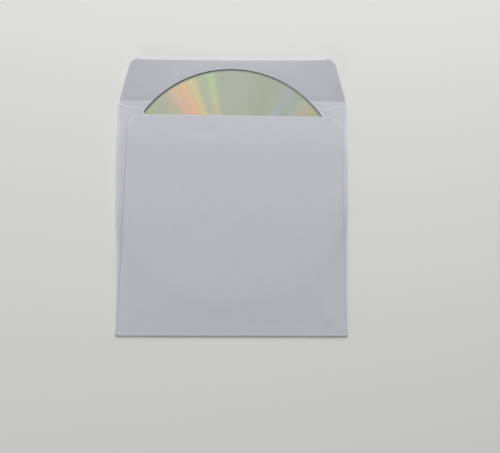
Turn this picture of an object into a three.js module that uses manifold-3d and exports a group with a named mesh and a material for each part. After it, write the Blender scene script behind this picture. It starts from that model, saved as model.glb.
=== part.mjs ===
import * as THREE from 'three';
import { mergeVertices } from 'three/addons/utils/BufferGeometryUtils.js';
import Module from 'manifold-3d';

const wasm = await Module();
wasm.setup();

// A nearly square paper sleeve, folded from one sheet, with the disc it holds and its flap open.
// Millimetres. x runs across the sleeve, y from the bottom fold towards the flap, z up.
// The sleeve lies on its front panel, and the origin is the centre of that panel's outer face.

// Disc
const discDiameter = 120;
const discThickness = 1.2;
const discHole = 15;
const discEdgeRound = 0.15;
const stackingRingDiameter = 34;
const stackingRingWidth = 1.2;
const stackingRingHeight = 0.15;
const clampGrooveDiameter = 46;
const clampGrooveWidth = 0.5;
const clampGrooveDepth = 0.1;
const discFacets = 96;

// How the disc sits in the pocket
const sidePlay = 5; // width of the sleeve beyond the disc
const heightPlay = 7; // height of the sleeve beyond the disc
const rimToLeftFold = 1.8;
const discOverhang = 17.8; // how far the disc stands out past the flap crease
const seatGap = 0.04; // clearance under the disc, on the front panel and on the flap
const coverGap = 0.06; // clearance between the disc's highest ring and the paper over it

// Sheet and folds
const paper = 0.12;
const foldGap = 0.3; // air left inside a pressed fold
const foldDepth = 0.7; // how far the curve of a fold reaches in from its outer line
const glueSink = 0.02; // how far the glued back panel beds into the side flaps

// Side flaps, folded in over the disc
const leftFlapWidth = 14.5;
const rightFlapWidth = 14;
const shoulderDrop = 1.4; // slits at the sides of the mouth, below the crease
const sideFlapFall = 2.8; // drop of a side flap's top edge from the shoulder to its inner end
const sideFlapFootAngle = 35; // slant of its lower end
const sideFlapRound = 1.5;

// Back panel, folded up from the bottom and glued on the side flaps
const throatDrop = 8; // its top edge, below the crease
const backInset = 4.6; // at the throat, from the sleeve's outline
const backTurn = 0.6; // degrees, folded a little askew to the right
const cornerRelief = 0.4; // at the bottom, from the curve of the side fold
const backRound = 8;

// Top flap, which carries on from the front panel
const flapLength = 22.9;
const flapSideAngle = 16; // lean of its sides, from upright
const flapRound = 5.5;
const nickHeight = 0.45; // the rounded corners stand this much proud of the top edge
const nickRun = 2;
const flapRiseMiddle = 3; // degrees, where the disc holds it down
const flapRiseSide = 8;

// How the paper falls away from the disc to the folds
const rimSpread = 6;
const foldReach = 3.5;
const foldFade = 6;

// Facets
const cell = 5;
const foldFacets = 6;
const roundFacets = 8;
const tongue = 2; // overlap of a folded part with the panel it belongs to
const overcut = 1;

const bodyWidth = discDiameter + sidePlay;
const bodyHeight = discDiameter + heightPlay;
const halfWidth = bodyWidth / 2;
const bottom = -bodyHeight / 2;
const crease = bodyHeight / 2;
const shoulder = crease - shoulderDrop;
const throat = crease - throatDrop;
const flapTop = crease + flapLength;
const bendX = halfWidth - foldDepth;
const bendY = bottom + foldDepth;
const backInsetFoot = foldDepth + cornerRelief;

const discRadius = discDiameter / 2;
const discX = rimToLeftFold + discRadius - halfWidth;
const discY = crease + discOverhang - discRadius;
const flapSlopeMiddle = Math.tan(THREE.MathUtils.degToRad(flapRiseMiddle));
const flapSlopeSide = Math.tan(THREE.MathUtils.degToRad(flapRiseSide));
const discTilt = Math.asin((discOverhang * flapSlopeMiddle) / discDiameter);
const discZ = paper + seatGap + discRadius * Math.sin(discTilt);

const paperFinish = new THREE.MeshStandardMaterial({ color: 0xd9dce4, roughness: 0.86, metalness: 0 });
const discFinish = new THREE.MeshStandardMaterial({ color: 0xc3cbb9, roughness: 0.16, metalness: 0.75 });

// Even steps from one value to another, no wider than the cell.
function steps(from, to, width = cell) {
  const count = Math.max(1, Math.ceil((to - from) / width));
  return Array.from({ length: count + 1 }, (_, i) => from + ((to - from) * i) / count);
}

// A closed solid through sections that each have an outer and an inner line of as many points.
// Every cell is split along the diagonal that leans to the middle of the bottom fold, so layers
// of paper that lie on one another keep parallel facets.
function loft(sections) {
  const half = sections[0].outer.length;
  const ring = 2 * half;
  const positions = sections.flatMap(({ outer, inner }) => [...outer, ...inner.toReversed()]);
  const triangles = [];
  const quad = (a, b, c, d) => {
    const [ax, ay] = positions[a];
    const [cx, cy] = positions[c];
    if ((cx - ax) * (cy - ay) * (ax + cx) > 0) triangles.push(a, b, c, a, c, d);
    else triangles.push(b, c, d, b, d, a);
  };
  for (let i = 0; i + 1 < sections.length; i++) {
    for (let j = 0; j < ring; j++) {
      const k = (j + 1) % ring;
      quad(i * ring + j, i * ring + k, (i + 1) * ring + k, (i + 1) * ring + j);
    }
  }
  const last = (sections.length - 1) * ring;
  for (let j = 0; j + 1 < half; j++) {
    quad(ring - 1 - j, ring - 2 - j, j + 1, j);
    quad(last + j, last + j + 1, last + ring - 2 - j, last + ring - 1 - j);
  }
  const geometry = new THREE.BufferGeometry();
  geometry.setAttribute('position', new THREE.Float32BufferAttribute(positions.flat(), 3));
  geometry.setIndex(triangles);
  return solid(geometry);
}

function solid(geometry) {
  const bare = geometry.clone();
  bare.deleteAttribute('normal');
  bare.deleteAttribute('uv');
  const { attributes, index } = mergeVertices(bare);
  const triVerts = Uint32Array.from(index.array);
  const vertProperties = Float32Array.from(attributes.position.array);
  if (signedVolume(vertProperties, triVerts) < 0) triVerts.reverse();
  return new wasm.Manifold(new wasm.Mesh({ numProp: 3, vertProperties, triVerts }));
}

function signedVolume(points, triangles) {
  const corner = (i) => new THREE.Vector3().fromArray(points, 3 * triangles[i]);
  let volume = 0;
  for (let i = 0; i < triangles.length; i += 3) {
    volume += corner(i).dot(corner(i + 1).cross(corner(i + 2))) / 6;
  }
  return volume;
}

function geometryOf(manifold) {
  const { vertProperties, triVerts } = manifold.getMesh();
  const geometry = new THREE.BufferGeometry();
  geometry.setAttribute('position', new THREE.Float32BufferAttribute(vertProperties, 3));
  geometry.setIndex(Array.from(triVerts));
  geometry.computeVertexNormals();
  return geometry;
}

// A die-cut outline: corners [x, y, radius], with the rounded ones as arcs.
function dieCut(corners) {
  const points = corners.flatMap(([x, y, radius = 0], i) => {
    const here = new THREE.Vector2(x, y);
    if (!radius) return [here];
    const [px, py] = corners.at(i - 1);
    const [nx, ny] = corners[(i + 1) % corners.length];
    const back = new THREE.Vector2(px, py).sub(here).normalize();
    const ahead = new THREE.Vector2(nx, ny).sub(here).normalize();
    const halfAngle = Math.acos(back.dot(ahead)) / 2;
    const centre = back.clone().add(ahead).setLength(radius / Math.sin(halfAngle)).add(here);
    const start = back.clone().multiplyScalar(radius / Math.tan(halfAngle)).add(here).sub(centre);
    const turn = Math.PI - 2 * halfAngle;
    return Array.from({ length: roundFacets + 1 }, (_, k) =>
      start.clone().rotateAround(new THREE.Vector2(), (turn * k) / roundFacets).add(centre));
  });
  const depth = 4 * (discThickness + flapLength);
  const prism = new THREE.ExtrudeGeometry(new THREE.Shape(points), { depth, bevelEnabled: false });
  return solid(prism.translate(0, 0, -depth / 2));
}

// Height of the open flap's underside, rising from the crease and more so at its sides.
function flapUnder(x, y) {
  const slope = flapSlopeMiddle + (flapSlopeSide - flapSlopeMiddle) * (x / halfWidth) ** 2;
  return slope * Math.max(0, y - crease);
}

// Height that paper needs to clear the disc.
function overDisc(y) {
  const rise = discZ + (y - discY) * Math.tan(discTilt) + discThickness / Math.cos(discTilt);
  return rise + stackingRingHeight + coverGap;
}

// Underside of the folded edge at one side, which stands up where the disc comes close to it.
function sideFoldUnder(side, y) {
  const chord = Math.sqrt(Math.max(0, discRadius ** 2 - (y - discY) ** 2));
  const gap = halfWidth - side * discX - chord;
  const share = Math.exp(-((Math.max(0, gap - foldReach) / foldFade) ** 2));
  return THREE.MathUtils.lerp(paper + foldGap, overDisc(y), share);
}

// Underside of the paper that lies on the disc and falls away to the folds.
function coverUnder(x, y) {
  const outside = Math.max(0, Math.hypot(x - discX, y - discY) - discRadius - rimSpread);
  const toSide = halfWidth - Math.abs(x);
  const toBottom = y - bottom;
  const toFold = Math.min(toSide, toBottom);
  const fold = toSide < toBottom ? sideFoldUnder(Math.sign(x), y) : paper + foldGap;
  return THREE.MathUtils.lerp(fold, overDisc(y), toFold / (toFold + outside || 1));
}

// Half an ellipse of paper: [how far out, height] of its outer and inner line.
function foldCurve(under) {
  const middle = (under + paper) / 2;
  return Array.from({ length: foldFacets + 1 }, (_, i) => {
    const angle = (Math.PI * i) / foldFacets;
    const line = (out, up) => [out * Math.sin(angle), middle - up * Math.cos(angle)];
    return { outer: line(foldDepth, middle), inner: line(foldDepth - paper, middle - paper) };
  });
}

// Front panel and flap, one flat run of paper that bends up at the crease.
function frontSheet() {
  const columns = steps(-halfWidth - overcut, halfWidth + overcut, 2 * cell);
  const rows = [bottom - overcut, ...steps(crease, flapTop + overcut)];
  return loft(columns.map((x) => ({
    outer: rows.map((y) => [x, y, flapUnder(x, y) + paper]),
    inner: rows.map((y) => [x, y, flapUnder(x, y)]),
  })));
}

function frontOutline() {
  const backFoot = halfWidth - backInsetFoot;
  const lean = Math.tan(THREE.MathUtils.degToRad(flapSideAngle));
  const crest = flapTop + nickHeight;
  const cornerX = halfWidth - (crest - shoulder) * lean;
  const roundEnd = flapRound * Math.tan((Math.PI / 2 - Math.atan(lean)) / 2);
  const right = [
    [backFoot, bendY],
    [backFoot, bottom],
    [bendX, bottom],
    [bendX, shoulder],
    [halfWidth, shoulder],
    [cornerX, crest, flapRound],
    [cornerX - roundEnd, crest],
    [cornerX - roundEnd - nickRun, flapTop],
  ];
  const left = right.toReversed().map(([x, y, radius]) => [-x, y, radius]);
  return dieCut([...right, ...left]);
}

// Side fold and the flap folded in from it; side is -1 on the left and 1 on the right.
function sideFlap(side, width) {
  const inner = halfWidth - width;
  const columns = steps(-bendX, bendX).filter((x) => x < bendX && x > inner - cell).toReversed();
  const rows = [bottom, ...steps(bendY, shoulder)];
  return loft(rows.map((y) => {
    const curve = foldCurve(coverUnder(side * bendX, y));
    const line = (key, low, up) => [
      [side * (bendX - tongue), y, low],
      ...curve.map((point) => [side * (bendX + point[key][0]), y, point[key][1]]),
      ...columns.map((x) => [side * x, y, coverUnder(side * x, y) + up]),
    ];
    return { outer: line('outer', 0, paper), inner: line('inner', paper, 0) };
  }));
}

function sideFlapOutline(side, width) {
  const inner = halfWidth - width;
  const fall = sideFlapFall / width;
  const foot = Math.tan(THREE.MathUtils.degToRad(sideFlapFootAngle));
  const corners = [
    [halfWidth + overcut, bottom - overcut * foot],
    [halfWidth + overcut, shoulder + overcut * fall],
    [inner, shoulder - sideFlapFall, sideFlapRound],
    [inner, bottom + width * foot, sideFlapRound],
  ];
  if (side > 0) return dieCut(corners);
  return dieCut(corners.toReversed().map(([x, y, radius]) => [-x, y, radius]));
}

// Bottom fold and the back panel folded up from it, bedded on the side flaps.
function backPanel() {
  const rows = steps(bendY, shoulder).slice(1);
  const under = (x, y) => coverUnder(x, y) + paper - glueSink;
  return loft(steps(-bendX, bendX).map((x) => {
    const curve = foldCurve(under(x, bendY));
    const line = (key, low, up) => [
      [x, bendY + tongue, low],
      ...curve.map((point) => [x, bendY - point[key][0], point[key][1]]),
      ...rows.map((y) => [x, y, under(x, y) + up]),
    ];
    return { outer: line('outer', 0, paper), inner: line('inner', paper, 0) };
  }));
}

function backOutline() {
  const foot = halfWidth - backInsetFoot;
  const turn = Math.tan(THREE.MathUtils.degToRad(backTurn));
  const corner = (x) => [x + (throat - bottom) * turn, throat - x * turn, backRound];
  return dieCut([
    [-foot, bottom - overcut],
    [foot, bottom - overcut],
    [foot, bendY],
    corner(halfWidth - backInset),
    corner(backInset - halfWidth),
    [-foot, bendY],
  ]);
}

function sleeve() {
  const left = sideFlap(-1, leftFlapWidth).intersect(sideFlapOutline(-1, leftFlapWidth));
  const right = sideFlap(1, rightFlapWidth).intersect(sideFlapOutline(1, rightFlapWidth));
  const back = backPanel().intersect(backOutline());
  const folded = frontSheet().intersect(frontOutline()).add(left).add(right).add(back);
  const mesh = new THREE.Mesh(geometryOf(folded), paperFinish);
  mesh.name = 'sleeve';
  return mesh;
}

// The disc lies with its clear playing side up: a stacking ring stands on it round the hub,
// and a shallow groove runs where the clear hub ends.
function disc() {
  const hole = discHole / 2;
  const ring = stackingRingDiameter / 2;
  const groove = clampGrooveDiameter / 2;
  const top = discThickness;
  const profile = [
    [hole, discEdgeRound],
    [hole + discEdgeRound, 0],
    [discRadius - discEdgeRound, 0],
    [discRadius, discEdgeRound],
    [discRadius, top - discEdgeRound],
    [discRadius - discEdgeRound, top],
    [groove + clampGrooveWidth / 2, top],
    [groove, top - clampGrooveDepth],
    [groove - clampGrooveWidth / 2, top],
    [ring + stackingRingWidth / 2, top],
    [ring, top + stackingRingHeight],
    [ring - stackingRingWidth / 2, top],
    [hole + discEdgeRound, top],
    [hole, top - discEdgeRound],
    [hole, discEdgeRound],
  ];
  const turned = new THREE.LatheGeometry(profile.map(([r, z]) => new THREE.Vector2(r, z)), discFacets);
  const mesh = new THREE.Mesh(geometryOf(solid(turned.rotateX(Math.PI / 2))), discFinish);
  mesh.name = 'disc';
  mesh.position.set(discX, discY, discZ);
  mesh.rotation.x = discTilt;
  return mesh;
}

const model = new THREE.Group();
model.add(sleeve(), disc());

export default model;
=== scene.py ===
import math

import bpy
import numpy as np
from mathutils import Euler, Matrix, Vector
from mathutils.geometry import delaunay_2d_cdt


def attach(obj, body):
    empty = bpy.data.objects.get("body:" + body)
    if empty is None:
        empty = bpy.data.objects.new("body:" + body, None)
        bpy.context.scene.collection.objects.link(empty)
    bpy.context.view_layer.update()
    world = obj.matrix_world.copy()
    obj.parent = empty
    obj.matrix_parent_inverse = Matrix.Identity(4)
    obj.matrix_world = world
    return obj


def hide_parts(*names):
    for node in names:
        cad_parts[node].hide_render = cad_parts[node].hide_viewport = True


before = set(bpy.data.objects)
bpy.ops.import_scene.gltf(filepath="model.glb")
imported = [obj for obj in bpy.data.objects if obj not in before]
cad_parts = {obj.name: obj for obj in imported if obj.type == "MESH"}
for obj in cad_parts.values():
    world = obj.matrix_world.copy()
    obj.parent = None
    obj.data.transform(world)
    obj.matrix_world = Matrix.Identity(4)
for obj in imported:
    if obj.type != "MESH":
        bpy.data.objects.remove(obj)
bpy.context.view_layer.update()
mm = 0.001
tiny = 1e-9
sharpFrom = 40  # degrees between faces


def srgb(red, green, blue, alpha=1.0):
    values = []
    for value in (red, green, blue):
        share = value / 255
        values.append(share / 12.92 if share <= 0.04045 else ((share + 0.055) / 1.055) ** 2.4)
    return (*values, alpha)


# One socket of a node tree, on which sums are written as plain Python
class Wire:
    def __init__(self, tree, socket=None):
        self.tree = tree
        self.socket = socket

    # settings go on first, then the values or wires of the sockets, by name or number
    def node(self, kind, settings=None, sockets=None, out=0):
        made = self.tree.nodes.new(kind)
        for name, value in (settings or {}).items():
            if name == "items":
                while len(made.index_switch_items) < value:
                    made.index_switch_items.new()
            else:
                setattr(made, name, value)
        for name, value in (sockets or {}).items():
            if isinstance(value, Wire):
                self.tree.links.new(value.socket, made.inputs[name])
            else:
                made.inputs[name].default_value = value
        return Wire(self.tree, made.outputs[out] if len(made.outputs) else None)

    def maths(self, operation, *values):
        return self.node("ShaderNodeMath", {"operation": operation}, dict(enumerate(values)))

    def __add__(self, other):
        return self.maths("ADD", self, other)

    def __radd__(self, other):
        return self.maths("ADD", other, self)

    def __sub__(self, other):
        return self.maths("SUBTRACT", self, other)

    def __rsub__(self, other):
        return self.maths("SUBTRACT", other, self)

    def __mul__(self, other):
        return self.maths("MULTIPLY", self, other)

    def __rmul__(self, other):
        return self.maths("MULTIPLY", other, self)

    def __truediv__(self, other):
        return self.maths("DIVIDE", self, other)

    def __rtruediv__(self, other):
        return self.maths("DIVIDE", other, self)

    def __pow__(self, other):
        return self.maths("POWER", self, other)

    def __rpow__(self, other):
        return self.maths("POWER", other, self)

    def __neg__(self):
        return self.maths("MULTIPLY", self, -1.0)

    # 0 below the first value, 1 above the second, smooth between them
    def rise(self, low, high):
        settings = {"interpolation_type": "SMOOTHSTEP"}
        return self.node("ShaderNodeMapRange", settings, {0: self, 1: low, 2: high})

    # 1 at 0, falling off softly on both sides
    def bell(self):
        return self.maths("EXPONENT", -(self * self))

    def plainColour(self, colour):
        made = self.node("ShaderNodeRGB")
        made.socket.default_value = colour
        return made

    # a colour moved towards another by a share
    def mixed(self, share, other):
        return self.node("ShaderNodeMix", {"data_type": "RGBA"}, {0: share, 6: self, 7: other}, 2)

    # the three parts of a vector
    def split(self):
        outputs = self.node("ShaderNodeSeparateXYZ", {}, {0: self}).socket.node.outputs
        return [Wire(self.tree, output) for output in outputs]


def newMaterial(name):
    material = bpy.data.materials.new(name)
    material.use_nodes = True
    material.node_tree.nodes.clear()
    return material, Wire(material.node_tree)


def finishShader(start, sockets):
    shader = start.node("ShaderNodeBsdfPrincipled", {}, sockets)
    start.node("ShaderNodeOutputMaterial", {}, {"Surface": shader})


# The sheet: a blank in mm, folded at its sides and at the bottom and bent at the crease
sheet = {
    "halfWidth": 62.5,
    "halfHeight": 63.5,
    "paper": 0.12,
    "foldGap": 0.3,
    "foldDepth": 0.7,
    "foldRun": 1.4,        # paper that the curve of a fold takes up
    "layerGap": 0.004,     # between glued layers
    "leftFlap": 14.5,
    "rightFlap": 14.0,
    "shoulderDrop": 1.4,
    "sideFlapFall": 2.8,
    "sideFlapFoot": 35,
    "sideFlapRound": 1.5,
    "throatDrop": 8.0,
    "backInset": 4.6,
    "backTurn": 0.6,
    "cornerRelief": 0.4,
    "backRound": 8.0,
    "flapLength": 22.9,
    "flapSideAngle": 16,
    "flapRound": 5.5,
    "nickHeight": 0.45,
    "nickRun": 2.0,
    "flapRiseMiddle": 3,
    "flapRiseSide": 8,
    "creaseSoftness": 0.7,  # half of the run on which the crease bends
    "rimSpread": 6.8,      # how far past the disc's rim the paper still lies at its height
    "rimEase": 3.6,        # and on what run it then bends down
    "foldReach": 3.5,      # a side fold this near the disc's rim is as high as the disc
    "foldFade": 4.5,
    "slit": 0.06,
    "stepDown": 0.07,      # where the back panel has no side flap under it
    "stepRun": 2.2,
    "stepEase": 8,
    "cell": 1.25,          # spacing of the points in the sheet
    "creaseCell": 0.2,
    "foldSteps": 12,
    "gridMargin": 2,
    "edgeRings": (0.22, 0.55),  # rows of points that run along a cut edge
    "ringKeep": 0.8,       # share of its inset that a point of a row keeps from every edge
    "ringMargin": 0.15,
    "mergeWithin": 1e-6,
    "leastStep": 0.07,     # between two points of the outline
    "foldHighlightHalf": 0.6,      # half width of the painted highlight on a fold
    "creaseHighlightHalf": 0.5,
    "creaseHighlightShare": 0.6,
    "edgeHighlightReach": 0.35,
    "cornerRun": (118, 108),  # from the bottom fold; the panel's edges get no painted edge highlight below it
    "cornerInner": 50,
}

# The disc and its place in the pocket, in mm
discSizes = {
    "diameter": 120.0,
    "thickness": 1.2,
    "hole": 15.0,
    "edgeRound": 0.15,
    "ringDiameter": 34.0,
    "ringWidth": 1.2,
    "ringHeight": 0.15,
    "grooveDiameter": 46.0,
    "grooveWidth": 0.5,
    "grooveDepth": 0.1,
    "facets": 256,
    "rimToLeftFold": 1.8,
    "overhang": 17.8,
    "seatGap": 0.04,
    "coverGap": 0.06,
}

bottom = -sheet["halfHeight"]
crease = sheet["halfHeight"]
shoulder = crease - sheet["shoulderDrop"]
throat = crease - sheet["throatDrop"]
flapTop = crease + sheet["flapLength"]
bendX = sheet["halfWidth"] - sheet["foldDepth"]
bendY = bottom + sheet["foldDepth"]
footX = bendX - sheet["cornerRelief"]
backTurn = math.tan(math.radians(sheet["backTurn"]))
footSlope = math.tan(math.radians(sheet["sideFlapFoot"]))
discRadius = discSizes["diameter"] / 2
discX = discSizes["rimToLeftFold"] + discRadius - sheet["halfWidth"]
discY = crease + discSizes["overhang"] - discRadius
slopeMiddle = math.tan(math.radians(sheet["flapRiseMiddle"]))
slopeSide = math.tan(math.radians(sheet["flapRiseSide"]))
discTilt = math.asin(discSizes["overhang"] * slopeMiddle / discSizes["diameter"])
discZ = sheet["paper"] + discSizes["seatGap"] + discRadius * math.sin(discTilt)


def smooth(value, low, high):
    share = np.clip((value - low) / (high - low), 0, 1)  # low may be the larger
    return share * share * (3 - 2 * share)


def bell(value):
    return np.exp(-(value ** 2))


def flapRise(x, y):
    soft = sheet["creaseSoftness"]
    ahead = y - crease
    bent = np.where(np.abs(ahead) < soft, (ahead + soft) ** 2 / (4 * soft), np.maximum(ahead, 0))
    return (slopeMiddle + (slopeSide - slopeMiddle) * (x / sheet["halfWidth"]) ** 2) * bent


def overDisc(y):
    rise = discZ + (y - discY) * math.tan(discTilt) + discSizes["thickness"] / math.cos(discTilt)
    return rise + discSizes["ringHeight"] + discSizes["coverGap"]


# underside of the paper that lies on the disc and falls away to the folds
def coverUnder(x, y):
    beyond = np.hypot(x - discX, y - discY) - discRadius - sheet["rimSpread"]
    outside = (beyond + np.sqrt(beyond ** 2 + sheet["rimEase"] ** 2)) / 2  # paper bends softly past the rim
    toSide = sheet["halfWidth"] - np.abs(x)
    toBottom = y - bottom
    toFold = np.minimum(toSide, toBottom)
    chord = np.sqrt(np.maximum(0, discRadius ** 2 - (y - discY) ** 2))
    gap = sheet["halfWidth"] - np.sign(x) * discX - chord
    share = bell(np.maximum(0, gap - sheet["foldReach"]) / sheet["foldFade"])
    pressed = sheet["paper"] + sheet["foldGap"]
    sideFold = pressed + (overDisc(y) - pressed) * share
    fold = np.where(toSide < toBottom, sideFold, pressed)
    return fold + (overDisc(y) - fold) * toFold / np.maximum(toFold + outside, tiny)


# 1 where a side flap lies under the back panel
def overFlap(x, y):
    width = np.where(x < 0, sheet["leftFlap"], sheet["rightFlap"])
    inner = sheet["halfWidth"] - width
    foot = bottom + (sheet["halfWidth"] - np.abs(x)) * footSlope
    return smooth(np.abs(x), inner - sheet["stepRun"], inner) * smooth(y, foot - sheet["stepRun"], foot)


# Gentle relief that the pressed paper keeps, in mm
reliefSizes = {
    "wave": 0.035,
    "waveRun": (17, 23),
    "waveStart": (0.6, -0.4),
    "ripple": 0.02,
    "rippleRun": (9, 13),
    "lipDip": 0.16,        # the paper dips at the mouth's edge and stands up behind it
    "lipReach": 5.5,
    "crown": 0.13,
    "crownPlace": 17,
    "crownReach": 8.0,
    "dent": 0.16,
    "dentPlace": (-15, 47),
    "dentReach": (8.0, 4.0),
    "easeStart": 1,        # from a fold
    "easeSide": 14,
    "easeBottom": 16,
}


def relief(x, y):
    size = reliefSizes
    (waveX, waveY), (startX, startY) = size["waveRun"], size["waveStart"]
    rippleX, rippleY = size["rippleRun"]
    (dentX, dentY), (reachX, reachY) = size["dentPlace"], size["dentReach"]
    lip = throat - x * backTurn - y
    height = size["wave"] * np.sin(x / waveX + startX) * np.cos(y / waveY + startY)
    height = height + size["ripple"] * np.sin(x / rippleX - y / rippleY)
    height = height + size["crown"] * bell((lip - size["crownPlace"]) / size["crownReach"])
    height = height - size["lipDip"] * bell(lip / size["lipReach"])
    height = height - size["dent"] * bell((x - dentX) / reachX) * bell((y - dentY) / reachY)
    fromFold = smooth(sheet["halfWidth"] - np.abs(x), size["easeStart"], size["easeSide"])
    fromBottom = smooth(y - bottom, size["easeStart"], size["easeBottom"])
    return height * fromFold * fromBottom


# place of points of the flat blank after folding
def folded(u, v):
    half = sheet["paper"] / 2
    run = sheet["foldRun"]
    reach = sheet["foldDepth"] - half
    side = np.sign(u)
    x, y, z = u.copy(), v.copy(), half + flapRise(u, v)

    atSide = (np.abs(u) > bendX) & (v < shoulder)
    past = np.abs(u) - bendX
    turn = np.pi * np.clip(past / run, 0, 1)
    flatX = bendX - np.maximum(past - run, 0)
    middle = (coverUnder(side * bendX, v) + sheet["paper"]) / 2
    curlX = bendX + reach * np.sin(turn)
    curlZ = middle - (middle - half) * np.cos(turn)
    flatZ = coverUnder(side * flatX, v) + half
    onCurl = past < run
    x = np.where(atSide, side * np.where(onCurl, curlX, flatX), x)
    z = np.where(atSide, np.where(onCurl, curlZ, flatZ), z)

    atBack = (v < bendY) & (np.abs(u) < footX)
    past = bendY - v
    turn = np.pi * np.clip(past / run, 0, 1)
    flatY = bendY + np.maximum(past - run, 0)
    lift = sheet["paper"] + sheet["layerGap"]
    drop = sheet["stepDown"] * (1 - overFlap(u, flatY)) * smooth(flatY, bendY, bendY + sheet["stepEase"])
    under = coverUnder(u, flatY) + lift - drop
    middle = (coverUnder(u, np.full_like(v, bendY)) + lift + sheet["paper"]) / 2
    curlY = bendY - reach * np.sin(turn)
    curlZ = middle - (middle - half) * np.cos(turn)
    onCurl = past < run
    y = np.where(atBack, np.where(onCurl, curlY, flatY), y)
    z = np.where(atBack, np.where(onCurl, curlZ, under + half + relief(u, flatY)), z)
    return np.stack([x, y, z], 1)


def roundedOutline(corners, steps=10):
    points = []
    for i, (x, y, radius) in enumerate(corners):
        here = Vector((x, y))
        if not radius:
            points.append(here)
            continue
        back = (Vector(corners[i - 1][:2]) - here).normalized()
        ahead = (Vector(corners[(i + 1) % len(corners)][:2]) - here).normalized()
        halfAngle = math.acos(back.dot(ahead)) / 2
        centre = here + (back + ahead).normalized() * radius / math.sin(halfAngle)
        start = here + back * radius / math.tan(halfAngle) - centre
        turn = (math.pi - 2 * halfAngle) * (1 if back.x * ahead.y - back.y * ahead.x < 0 else -1)
        for k in range(steps + 1):
            points.append(centre + Matrix.Rotation(turn * k / steps, 2) @ start)
    return np.array([list(point) for point in points])


# the die-cut outline of the flat blank, anticlockwise; the back panel hangs below the bottom fold
def blankOutline():
    slit = sheet["slit"] / 2

    def flatY(y):
        return 2 * bendY - sheet["foldRun"] - y

    lean = math.tan(math.radians(sheet["flapSideAngle"]))
    crest = flapTop + sheet["nickHeight"]
    cornerX = sheet["halfWidth"] - (crest - shoulder) * lean
    roundEnd = sheet["flapRound"] * math.tan((math.pi / 2 - math.atan(lean)) / 2)
    halves = []
    for side, width in ((1, sheet["rightFlap"]), (-1, sheet["leftFlap"])):
        inner = sheet["halfWidth"] - width
        flatInner = bendX + sheet["foldRun"] + bendX - inner
        ridge = bendX + sheet["foldRun"] / 2
        panelX = sheet["halfWidth"] - sheet["backInset"]
        shift = side * (throat - bottom) * backTurn
        halves.append([
            (panelX + shift, flatY(throat - side * panelX * backTurn), sheet["backRound"]),
            (footX - slit, bendY - sheet["foldRun"], 0),
            (footX - slit, bendY, 0),
            (footX + slit, bendY, 0),
            (footX + slit, bottom, 0),
            (ridge, bottom, 0),
            (flatInner, bottom + width * footSlope, sheet["sideFlapRound"]),
            (flatInner, shoulder - sheet["sideFlapFall"], sheet["sideFlapRound"]),
            (ridge, shoulder - slit, 0),
            (bendX, shoulder - slit, 0),
            (bendX, shoulder + slit, 0),
            (sheet["halfWidth"], shoulder + slit, 0),
            (cornerX, crest, sheet["flapRound"]),
            (cornerX - roundEnd, crest, 0),
            (cornerX - roundEnd - sheet["nickRun"], flapTop, 0),
        ])
    left = [(-x, y, radius) for x, y, radius in reversed(halves[1])]
    return roundedOutline(halves[0] + left)


def evenSteps(low, high, step):
    return np.linspace(low, high, max(1, math.ceil((high - low) / step)) + 1)


def blankGrid():
    run, cell = sheet["foldRun"], sheet["cell"]
    fine = evenSteps(0, run, run / sheet["foldSteps"])
    flat = evenSteps(run, run + sheet["leftFlap"] + sheet["gridMargin"], cell)
    right = np.concatenate([evenSteps(0, bendX, cell), bendX + fine[1:], bendX + flat[1:]])
    columns = np.concatenate([-right[:0:-1], right])
    soft = sheet["creaseSoftness"]
    rows = np.concatenate([
        evenSteps(2 * bendY - run - crease, bendY - run, cell)[:-1],
        bendY - fine[::-1],
        evenSteps(bendY, crease - soft, cell)[1:],
        evenSteps(crease - soft, crease + soft, sheet["creaseCell"])[1:],
        evenSteps(crease + soft, flapTop + sheet["gridMargin"], cell)[1:],
    ])
    return columns, rows


# the outline, with a point wherever it crosses a line of the grid
def splitOutline(outline, columns, rows):
    points = []
    for a, b in zip(outline, np.roll(outline, -1, axis=0)):
        shares = [0.0]
        for axis, lines in ((0, columns), (1, rows)):
            if abs(b[axis] - a[axis]) > tiny:
                shares += list((lines - a[axis]) / (b[axis] - a[axis]))
        length = np.hypot(*(b - a))
        least = sheet["leastStep"]
        last = -1.0
        for share in sorted(share for share in shares if 0 <= share < 1):
            if (share - last) * length > least and (share == 0 or (1 - share) * length > least):
                points.append(a + share * (b - a))
                last = share
    return np.array(points)


# which points lie inside the outline and off its edge, and how far each is from it
def insideOutline(points, outline, margin):
    x, y = points.T
    inside = np.zeros(len(points), bool)
    near = np.full(len(points), np.inf)
    for (ax, ay), (bx, by) in zip(outline, np.roll(outline, -1, axis=0)):
        crosses = (y < ay) != (y < by)
        if by != ay:
            inside ^= crosses & (x < ax + (y - ay) * (bx - ax) / (by - ay))
        square = max((bx - ax) ** 2 + (by - ay) ** 2, tiny)
        share = np.clip(((x - ax) * (bx - ax) + (y - ay) * (by - ay)) / square, 0, 1)
        near = np.minimum(near, np.hypot(x - ax - share * (bx - ax), y - ay - share * (by - ay)))
    return inside & (near > margin), near


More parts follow.
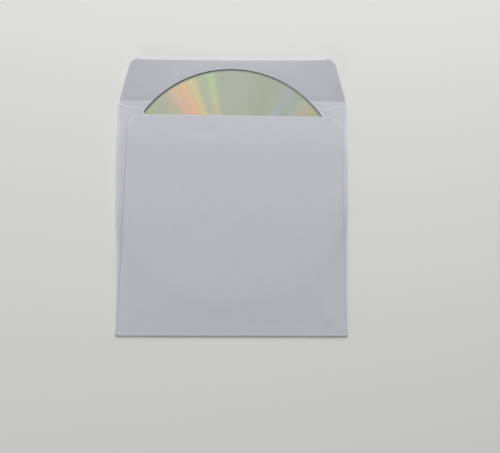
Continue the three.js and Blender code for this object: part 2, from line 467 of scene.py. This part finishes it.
def buildSleeve():
    columns, rows = blankGrid()
    outline = splitOutline(blankOutline(), columns, rows)
    points = [outline]
    ahead = np.roll(outline, -1, axis=0) - np.roll(outline, 1, axis=0)
    inward = np.stack([-ahead[:, 1], ahead[:, 0]], 1) / np.maximum(np.hypot(*ahead.T), tiny)[:, None]
    for inset in sheet["edgeRings"]:
        ring = outline + inset * inward
        points.append(ring[insideOutline(ring, outline, inset * sheet["ringKeep"])[0]])
    grid = np.array([(u, v) for v in rows for u in columns])
    points.append(grid[insideOutline(grid, outline, sheet["edgeRings"][-1] + sheet["ringMargin"])[0]])
    corners = [Vector(point) for point in np.concatenate(points)]
    loop = list(range(len(outline)))
    flat, _, faces, _, _, _ = delaunay_2d_cdt(corners, [], [loop], 1, sheet["mergeWithin"])
    flat = np.array([list(point) for point in flat])
    mesh = bpy.data.meshes.new("sleeveSheet")
    mesh.from_pydata((folded(flat[:, 0], flat[:, 1]) * mm).tolist(), [], faces)

    # how much of a fold or of a cut edge is at a point, for the painted highlights on them
    u, v = flat.T
    fromMiddle = np.abs(u)
    ridge = sheet["foldRun"] / 2
    atSide = bell((fromMiddle - bendX - ridge) / sheet["foldHighlightHalf"]) * (v < shoulder)
    atBottom = bell((bendY - ridge - v) / sheet["foldHighlightHalf"]) * (fromMiddle < footX)
    atCrease = sheet["creaseHighlightShare"] * bell((v - crease) / sheet["creaseHighlightHalf"])
    atCrease = atCrease * (fromMiddle < sheet["halfWidth"])
    _, toEdge = insideOutline(flat, outline, 0.0)
    alongPanel = (v < bendY) * smooth(bendY - v, *sheet["cornerRun"]) * (fromMiddle > sheet["cornerInner"])
    for name, values in (
        ("foldShare", np.maximum(np.maximum(atSide, atBottom), atCrease)),
        ("edgeShare", bell(toEdge / sheet["edgeHighlightReach"]) * (1 - alongPanel)),
    ):
        attribute = mesh.attributes.new(name, "FLOAT", "POINT")
        attribute.data.foreach_set("value", values.astype(np.float32))

    blank = bpy.data.objects.new("sleeveSheet", mesh)
    bpy.context.scene.collection.objects.link(blank)
    thick = blank.modifiers.new("thickness", "SOLIDIFY")
    thick.thickness = sheet["paper"] * mm
    thick.offset = 0
    bpy.context.view_layer.update()
    return plainMesh(blank, "paperSleeve")


# what the modifiers make of an object, as a plain mesh in its place
def plainMesh(source, name, place=None):
    depsgraph = bpy.context.evaluated_depsgraph_get()
    evaluated = source.evaluated_get(depsgraph)
    mesh = bpy.data.meshes.new_from_object(evaluated, preserve_all_data_layers=True, depsgraph=depsgraph)
    bpy.data.objects.remove(source)
    mesh.name = name
    if place:
        mesh.transform(place)
    mesh.shade_smooth()
    mesh.set_sharp_from_angle(angle=math.radians(sharpFrom))
    made = bpy.data.objects.new(name, mesh)
    bpy.context.scene.collection.objects.link(made)
    return made


# The disc: a profile turned about the hub in Geometry Nodes
edgeSteps = 4
faceStart = 1.6  # in edge rounds, where the flat of a face begins
faceEase = 10
grooveSteps = (1.4, 1, 0.6, 0.3)  # in half widths, from the outer side to the middle
ringSteps = (1.3, 1, 0.75, 0.5, 0.25)


def discTree():
    tree = bpy.data.node_groups.new("turnedDisc", "GeometryNodeTree")
    tree.is_modifier = True
    sockets = {}
    for name in discSizes:
        if name in ("rimToLeftFold", "overhang", "seatGap", "coverGap"):
            continue
        kind = "NodeSocketInt" if name == "facets" else "NodeSocketFloat"
        sockets[name] = tree.interface.new_socket(name, in_out="INPUT", socket_type=kind)
    kind = "NodeSocketMaterial"
    sockets["material"] = tree.interface.new_socket("material", in_out="INPUT", socket_type=kind)
    tree.interface.new_socket("geometry", in_out="OUTPUT", socket_type="NodeSocketGeometry")
    given = tree.nodes.new("NodeGroupInput")
    start = Wire(tree)
    size = {name: Wire(tree, given.outputs[name]) for name in sockets}

    outer = size["diameter"] / 2
    hole = size["hole"] / 2
    top = size["thickness"]
    edge = size["edgeRound"]
    profile = []

    # a quarter turn about a centre, from an angle in degrees
    def roundEdge(centreR, centreZ, first):
        for k in range(edgeSteps + 1):
            angle = math.radians(first + 90 / edgeSteps * k)
            profile.append((centreR + edge * math.cos(angle), centreZ + edge * math.sin(angle)))

    # a groove or a ring round the upper face, whose rise follows from the share of its half width
    def crossRelief(name, steps, rise):
        middle = size[name + "Diameter"] / 2
        half = size[name + "Width"] / 2
        for k in (*steps, 0, *(-step for step in reversed(steps))):
            profile.append((middle + half * k, top + rise(min(1, abs(k)))))

    roundEdge(outer - edge, edge, -90)
    roundEdge(outer - edge, top - edge, 0)
    profile.append((outer - edge * faceStart, top))
    profile.append((outer - edge * faceEase, top))
    crossRelief("groove", grooveSteps, lambda k: size["grooveDepth"] * (-0.5 - 0.5 * math.cos(math.pi * k)))
    crossRelief("ring", ringSteps, lambda k: size["ringHeight"] * math.sqrt(1 - k ** 2))
    profile.append((hole + edge * faceStart, top))
    roundEdge(hole + edge, top - edge, 90)
    roundEdge(hole + edge, edge, 180)
    profile.append((hole + edge * faceStart, 0.0))
    profile.append((outer - edge * faceStart, 0.0))

    spine = size["diameter"] / 4
    places = {0: start.node("GeometryNodeInputIndex")}
    for i, (radius, height) in enumerate(reversed(profile)):  # the sweep lays a profile's y downwards
        places[i + 1] = start.node("ShaderNodeCombineXYZ", {}, {0: radius - spine, 1: -height})
    place = start.node("GeometryNodeIndexSwitch", {"data_type": "VECTOR", "items": len(profile)}, places)
    line = start.node("GeometryNodeMeshLine", {}, {"Count": len(profile)})
    line = start.node("GeometryNodeSetPosition", {}, {"Geometry": line, "Position": place})
    line = start.node("GeometryNodeMeshToCurve", {}, {0: line})
    line = start.node("GeometryNodeSetSplineCyclic", {}, {"Geometry": line, "Cyclic": True})
    path = start.node("GeometryNodeCurvePrimitiveCircle", {}, {"Resolution": size["facets"], "Radius": spine})
    path = start.node("GeometryNodeSetCurveNormal", {"mode": "Z_UP"}, {0: path})
    turned = start.node("GeometryNodeCurveToMesh", {}, {"Curve": path, "Profile Curve": line})
    turned = start.node("GeometryNodeRealizeInstances", {}, {0: turned})
    turned = start.node("GeometryNodeSetMaterial", {}, {"Geometry": turned, "Material": size["material"]})
    start.node("NodeGroupOutput", {}, {0: turned})
    return tree, sockets


def buildDisc(material):
    tree, sockets = discTree()
    carrier = bpy.data.objects.new("discCarrier", bpy.data.meshes.new("discCarrier"))
    bpy.context.scene.collection.objects.link(carrier)
    turned = carrier.modifiers.new("turnedDisc", "NODES")
    turned.node_group = tree
    for name, socket in sockets.items():
        if name == "material":
            turned[socket.identifier] = material
        elif name == "facets":
            turned[socket.identifier] = discSizes[name]
        else:
            turned[socket.identifier] = discSizes[name] * mm
    bpy.context.view_layer.update()
    place = Matrix.Translation(Vector((discX, discY, discZ)) * mm) @ Matrix.Rotation(discTilt, 4, "X")
    return plainMesh(carrier, "mirrorDisc", place)


# Smooth, slightly bluish white paper
paperLook = {
    "colour": srgb(208, 210, 217),
    "cloud": srgb(202, 203, 210),
    # painted highlight on folds and the crease
    "fold": srgb(242, 243, 246),
    # painted highlight on cut edges
    "edge": srgb(232, 234, 238),
    # painted shadow along the back panel's side edges
    "paintedShadow": srgb(120, 122, 128),
    "roughness": 0.82,
    "specular": 0.3,
    "cloudNoise": (160.0, 3.0),  # scale and detail
    "cloudRange": (0.4, 0.75),
    "cloudAmount": 0.3,
    "fibreNoise": (2600.0, 2.0),
    "fibreRange": (0.5, 0.8),
    "fibreAmount": 0.25,
    "fibreGloss": 0.1,
    "edgeHighlightAmount": 0.8,
    "bump": 0.25,
    "bumpDepth": 0.00002,
    "paintedShadowPlace": 0.15,     # outwards from the back panel's edge, in mm
    "paintedShadowWidth": 0.22,
    "paintedShadowHeight": (0.3, 0.45),
    "paintedShadowTop": (9, 6),     # below the throat
    "paintedShadowLeft": 0.4,
    "paintedShadowRight": 0.15,
}


def paperMaterial():
    look = paperLook
    material, start = newMaterial("smoothPaper")
    where = start.node("ShaderNodeTexCoord", out=3)
    cloud, fibre = (
        start.node("ShaderNodeTexNoise", {}, {"Vector": where, "Scale": scale, "Detail": detail})
        for scale, detail in (look["cloudNoise"], look["fibreNoise"])
    )
    fold = start.node("ShaderNodeAttribute", {"attribute_name": "foldShare"}, out=2)
    edge = start.node("ShaderNodeAttribute", {"attribute_name": "edgeShare"}, out=2)
    colour = start.plainColour(look["colour"])
    colour = colour.mixed(cloud.rise(*look["cloudRange"]) * look["cloudAmount"], look["cloud"])
    colour = colour.mixed(fibre.rise(*look["fibreRange"]) * look["fibreAmount"], look["cloud"])
    # painted highlight: folds and the crease are lightened as if light caught them
    colour = colour.mixed(fold, look["fold"])
    # painted highlight along the cut edges
    colour = colour.mixed(edge * look["edgeHighlightAmount"], look["edge"])

    # a fine line of painted shadow where each side of the back panel ends on its side flap
    x, y, z = (part / mm for part in where.split())
    panelX = sheet["halfWidth"] - sheet["backInset"]
    lean = (panelX - footX) / (throat - bendY)
    lowEnd, highEnd = look["paintedShadowTop"]
    for side, strength in ((-1, look["paintedShadowLeft"]), (1, look["paintedShadowRight"])):
        across = side * x - (footX + (lean + side * backTurn) * (y - bendY)) - look["paintedShadowPlace"]
        line = (across / look["paintedShadowWidth"]).bell() * z.rise(*look["paintedShadowHeight"])
        line = line * (1 - y.rise(throat - lowEnd, throat - highEnd)) * strength
        colour = colour.mixed(line, look["paintedShadow"])
    bumpSockets = {"Strength": look["bump"], "Distance": look["bumpDepth"], "Height": fibre}
    finishShader(start, {
        "Base Color": colour,
        "Roughness": look["roughness"] - fibre * look["fibreGloss"],
        "Normal": start.node("ShaderNodeBump", {}, bumpSockets),
        "Specular IOR Level": look["specular"],
    })
    return material


# Clear plastic over a mirror layer; painted streaks of rainbow sheen and shade run out from the hub on both
# sides of it
discLook = {
    "mirror": srgb(176, 183, 167),
    "hub": srgb(176, 180, 176),
    "rim": srgb(150, 155, 146),
    "wall": srgb(112, 118, 113),
    # painted shade: a dark line along the top of the rim
    "paintedRimShade": srgb(24, 27, 24),
    "label": srgb(196, 198, 196),
    "nearFar": (25.0, 58.0),  # radii in mm between which a streak's colour changes
    "clearPart": (22.6, 23.4),
    "rimPart": (58.2, 58.9),
    "rimShadePart": (59.0, 59.45),
    "rimShadeFade": (0.2, 0.7),   # angles in radians over which the painted shade line grows weaker
    "rimShadeLoss": 0.4,
    "wallPart": (59.8, 59.95),
    "topFace": (0.95, 1.1),   # heights in mm
    "lowFace": (0.3, 0.5),
    "metal": 0.55,
    "metalLeast": 0.1,
    "roughness": 0.2,
    "ringGloss": 0.08,
    "ringNoise": (1.6, 4.0),
    "labelGloss": 0.2,
    "coatRoughness": 0.04,
    "paintedSheenStreaks": [
        # painted sheen: angle from the flap in degrees, half width, colour near the hub, colour near the rim,
        # strength
        (-53, 5, srgb(194, 198, 132), srgb(172, 190, 130), 0.9),
        (-40, 5, srgb(204, 190, 150), srgb(186, 188, 158), 0.6),
        (-33, 4.5, srgb(238, 172, 156), srgb(222, 190, 164), 0.95),
        (-27.5, 2.8, srgb(244, 168, 142), srgb(232, 194, 154), 0.95),
        (-22.5, 3.2, srgb(226, 200, 146), srgb(216, 208, 156), 0.9),
        (-16.5, 1.8, srgb(182, 192, 168), srgb(184, 196, 170), 0.6),
        (-11.8, 2.8, srgb(220, 197, 148), srgb(192, 211, 163), 0.85),
        (22, 8, srgb(170, 174, 156), srgb(168, 173, 154), 0.7),
        (34, 2.8, srgb(166, 194, 190), srgb(170, 178, 182), 0.9),
        (38.5, 3, srgb(166, 172, 172), srgb(166, 172, 166), 0.7),
        (47.5, 2, srgb(214, 178, 140), srgb(190, 176, 148), 0.8),
        (52, 2.5, srgb(194, 196, 124), srgb(174, 182, 132), 0.9),
    ],
}


def discMaterial():
    look = discLook
    material, start = newMaterial("mirrorPlastic")
    middle = Matrix.Rotation(-discTilt, 3, "X") @ Vector((discX, discY, discZ)) * mm
    where = start.node("ShaderNodeTexCoord", out=3)
    x, y, z = start.node("ShaderNodeMapping", {}, {
        "Vector": where, "Location": -middle, "Rotation": Euler((-discTilt, 0, 0)),
    }).split()
    radius = (x * x + y * y) ** 0.5 / mm
    height = z / mm
    angle = x.maths("ARCTAN2", x, y)
    share = radius.rise(*look["nearFar"])
    colour = start.plainColour(look["mirror"])
    # painted rainbow sheen and shade, in bands by angle about the hub
    for centre, width, near, far, strength in look["paintedSheenStreaks"]:
        # wrapped to half a turn, so that a streak shows on both sides of the hub
        away = angle.maths("WRAP", angle - math.radians(centre), math.pi / 2, -math.pi / 2)
        mask = (away / math.radians(width)).bell() * strength
        colour = colour.mixed(mask, start.plainColour(near).mixed(share, far))
    clear = 1 - radius.rise(*look["clearPart"])
    rim = radius.rise(*look["rimPart"])
    onTop = height.rise(*look["topFace"])
    # painted shade: a dark line on the top face near the rim, weaker over part of its turn
    line = radius.rise(*look["rimShadePart"]) * (1 - look["rimShadeLoss"] * angle.rise(*look["rimShadeFade"])) * onTop
    under = 1 - height.rise(*look["lowFace"])
    wall = radius.rise(*look["wallPart"]) * (1 - onTop)
    for mask, name in ((clear, "hub"), (rim, "rim"), (line, "paintedRimShade"), (under, "label"), (wall, "wall")):
        colour = colour.mixed(mask, look[name])
    ringScale, ringDetail = look["ringNoise"]
    ringSockets = {"W": radius, "Scale": ringScale, "Detail": ringDetail}
    rings = start.node("ShaderNodeTexNoise", {"noise_dimensions": "1D"}, ringSockets)
    finishShader(start, {
        "Base Color": colour,
        "Metallic": look["metal"] * (1 - clear) * (1 - rim) + look["metalLeast"],
        "Roughness": look["roughness"] + rings * look["ringGloss"] + under * look["labelGloss"],
        "Coat Weight": 1.0,
        "Coat Roughness": look["coatRoughness"],
    })
    return material


# Pale plain floor, a soft key light from beyond the flap, a weak low one on the folds, even fill
stageLook = {
    "floor": srgb(238, 238, 235),
    "floorHalf": 12.0,
    "floorDrop": 0.00003,  # keeps the floor off the paper that lies on it
    "floorRoughness": 0.9,
    "floorSpecular": 0.2,
    "keyPlace": (0.085, 1.1, 0.51),
    "keySize": 0.6,
    "keyPower": 18.4,
    "lowPlace": (-0.55, -0.7, 0.14),
    "lowSize": 0.5,
    "lowPower": 2.6,
    "farFloor": 0.62,      # keeps the far floor as pale as the room
    "farFrom": (0.3, 2.2),
    "fill": 0.2,           # the room's light on matt surfaces
    "room": 0.9,           # how bright the room looks itself, and in the disc
}


def buildFloor():
    half = stageLook["floorHalf"]
    height = -stageLook["floorDrop"]
    corners = [(-half, -half, height), (half, -half, height), (half, half, height), (-half, half, height)]
    mesh = bpy.data.meshes.new("floor")
    mesh.from_pydata(corners, [], [(0, 1, 2, 3)])
    floor = bpy.data.objects.new("floor", mesh)
    bpy.context.scene.collection.objects.link(floor)
    material, start = newMaterial("paleFloor")
    place = start.node("ShaderNodeTexCoord", out=3)
    away = start.node("ShaderNodeVectorMath", {"operation": "LENGTH"}, {0: place}, 1)
    seen = start.node("ShaderNodeLightPath")
    glow = start.plainColour((0, 0, 0, 1)).mixed(seen * away.rise(*stageLook["farFrom"]), (1, 1, 1, 1))
    finishShader(start, {
        "Base Color": stageLook["floor"],
        "Roughness": stageLook["floorRoughness"],
        "Specular IOR Level": stageLook["floorSpecular"],
        "Emission Color": glow,
        "Emission Strength": stageLook["farFloor"],
    })
    mesh.materials.append(material)


def buildLights():
    for name in ("key", "low"):
        lamp = bpy.data.lights.new(name + "Light", "AREA")
        lamp.shape = "SQUARE"
        lamp.size = stageLook[name + "Size"]
        lamp.energy = stageLook[name + "Power"]
        light = bpy.data.objects.new(name + "Light", lamp)
        light.location = stageLook[name + "Place"]
        light.rotation_euler = (-light.location).to_track_quat("-Z", "Y").to_euler()
        bpy.context.scene.collection.objects.link(light)

    world = bpy.data.worlds.new("softRoom")
    world.use_nodes = True
    world.node_tree.nodes.clear()
    start = Wire(world.node_tree)
    rays = start.node("ShaderNodeLightPath").socket.node.outputs
    names = ("Is Camera Ray", "Is Glossy Ray", "Is Transmission Ray")
    seen, glossy, through = (Wire(world.node_tree, rays[name]) for name in names)
    direct = seen + glossy + through
    shown = direct.maths("MINIMUM", direct, 1.0)
    strength = stageLook["fill"] + shown * (stageLook["room"] - stageLook["fill"])
    backdrop = start.node("ShaderNodeBackground", {}, {"Color": (1, 1, 1, 1), "Strength": strength})
    start.node("ShaderNodeOutputWorld", {}, {"Surface": backdrop})
    bpy.context.scene.world = world


# Looks straight down with a slight tilt; metres and degrees
cameraLook = {
    "place": (0.006445, -0.027806, 0.378340),
    "turn": (3.491, -0.486, 0.199),
    "lens": 50.4,
    "sensor": 36.0,
    "clipStart": 0.01,
}


def buildCamera():
    data = bpy.data.cameras.new("camera")
    data.sensor_width = cameraLook["sensor"]
    data.lens = cameraLook["lens"]
    data.clip_start = cameraLook["clipStart"]
    camera = bpy.data.objects.new("camera", data)
    camera.location = cameraLook["place"]
    camera.rotation_mode = "ZYX"
    camera.rotation_euler = [math.radians(turn) for turn in cameraLook["turn"]]
    bpy.context.scene.collection.objects.link(camera)
    bpy.context.scene.camera = camera


bpy.context.scene.view_settings.view_transform = "Standard"
buildCamera()
print("camera placed")

sleeve = buildSleeve()
sleeve.data.materials.clear()
sleeve.data.materials.append(paperMaterial())
print("paper sleeve folded:", len(sleeve.data.polygons), "faces")

disc = buildDisc(discMaterial())
print("disc turned:", len(disc.data.polygons), "faces")

for piece, node, slot in ((sleeve, "sleeve", "paper"), (disc, "disc", "disc")):
    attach(piece, "root")
    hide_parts(node)

buildFloor()
buildLights()
print("floor and light set")
